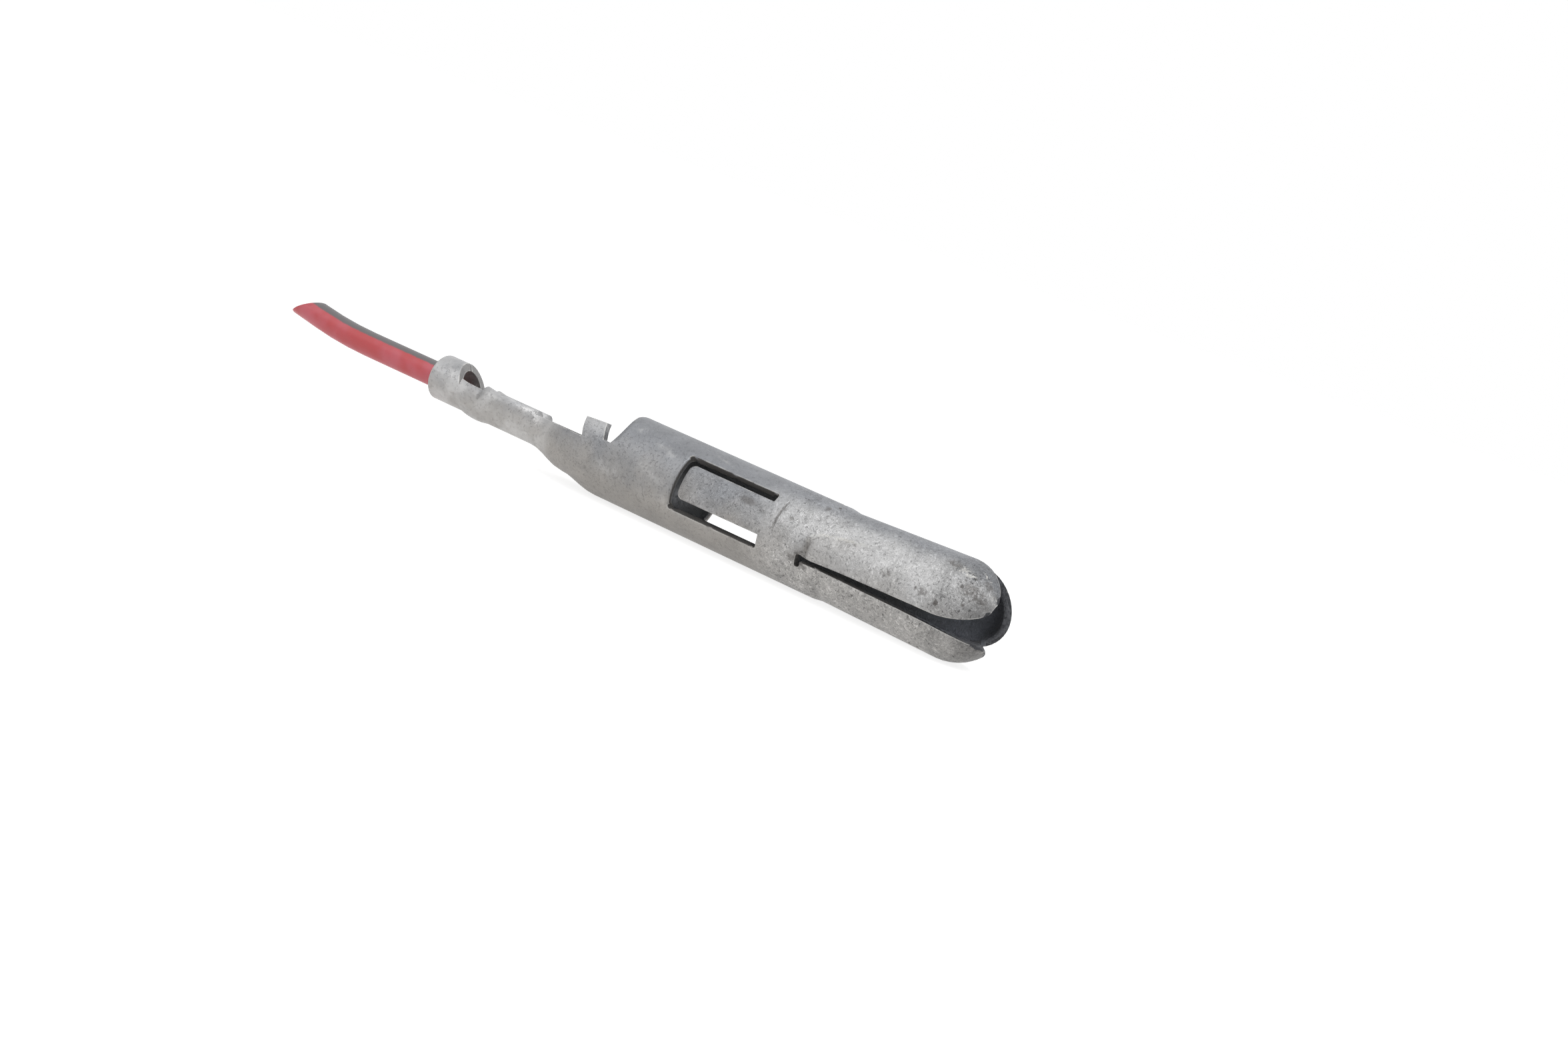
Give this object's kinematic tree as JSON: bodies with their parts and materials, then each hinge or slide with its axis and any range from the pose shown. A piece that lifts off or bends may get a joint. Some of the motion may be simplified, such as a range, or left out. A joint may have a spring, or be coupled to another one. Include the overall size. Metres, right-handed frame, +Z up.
{
  "type": "crimp pin contact",
  "caption": "Stamped and rolled crimp pin contact: round barrel with locking lances, spring tines at the nose, rolled crimps at the rear, on a short cut-off end of thin stranded wire.",
  "frame": {"origin": "on the axis of the barrel, at the barrel's square rear edge", "axes": "+X along the axis towards the tines, +Z up as it lies, with the seam rolled 8.5 degrees from the top towards +Y"},
  "size_m": [0.0259, 0.0028, 0.0027],
  "materials": {
    "contact": "dull tin plate, pitted and mottled",
    "wire_insulation": "smooth extruded insulation with a dark stripe",
    "strands": "drawn and tinned"
  },
  "bodies": {
    "root": {"contact": "contact", "wire_insulation": "wire_insulation", "strand_1": "strands", "strand_2": "strands", "strand_3": "strands", "strand_4": "strands", "strand_5": "strands", "strand_6": "strands", "strand_7": "strands"}
  },
  "joints": []
}
